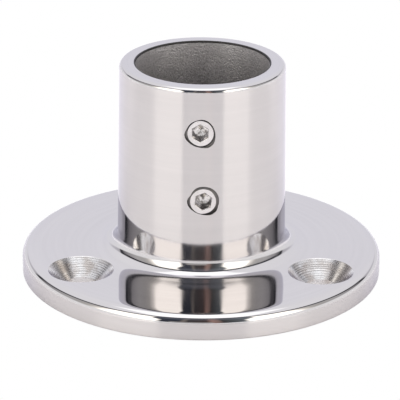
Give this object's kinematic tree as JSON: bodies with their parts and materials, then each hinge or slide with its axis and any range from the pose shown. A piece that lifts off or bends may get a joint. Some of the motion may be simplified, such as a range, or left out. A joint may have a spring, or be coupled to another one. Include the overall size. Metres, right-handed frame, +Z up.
{
  "type": "stanchion base",
  "caption": "Round flanged 90 degree stanchion base in polished stainless steel, with a straight socket for a rail tube, countersunk deck holes and side set screws.",
  "frame": {"origin": "centre of the flange's underside, where it meets the deck", "axes": "+Z up along the socket's axis, the set screws enter from -Y, and one deck hole is at +Y"},
  "size_m": [0.07, 0.07, 0.0424],
  "materials": {
    "polished_casting": "mirror-polished cast 316 stainless steel, left as cast inside the bore",
    "screw_steel": "bright machined stainless steel"
  },
  "bodies": {
    "casting": {"base_casting": "polished_casting"},
    "upper_screw": {"upper_set_screw": "screw_steel"},
    "lower_screw": {"lower_set_screw": "screw_steel"}
  },
  "joints": [
    {"name": "upper_screw_travel", "type": "slide", "parent": "casting", "child": "upper_screw", "axis": [0.0192, 0.9998, 0], "range_m": [-0.002, 0.002]},
    {"name": "lower_screw_travel", "type": "slide", "parent": "casting", "child": "lower_screw", "axis": [-0.0244, 0.9997, 0], "range_m": [-0.002, 0.002]}
  ]
}
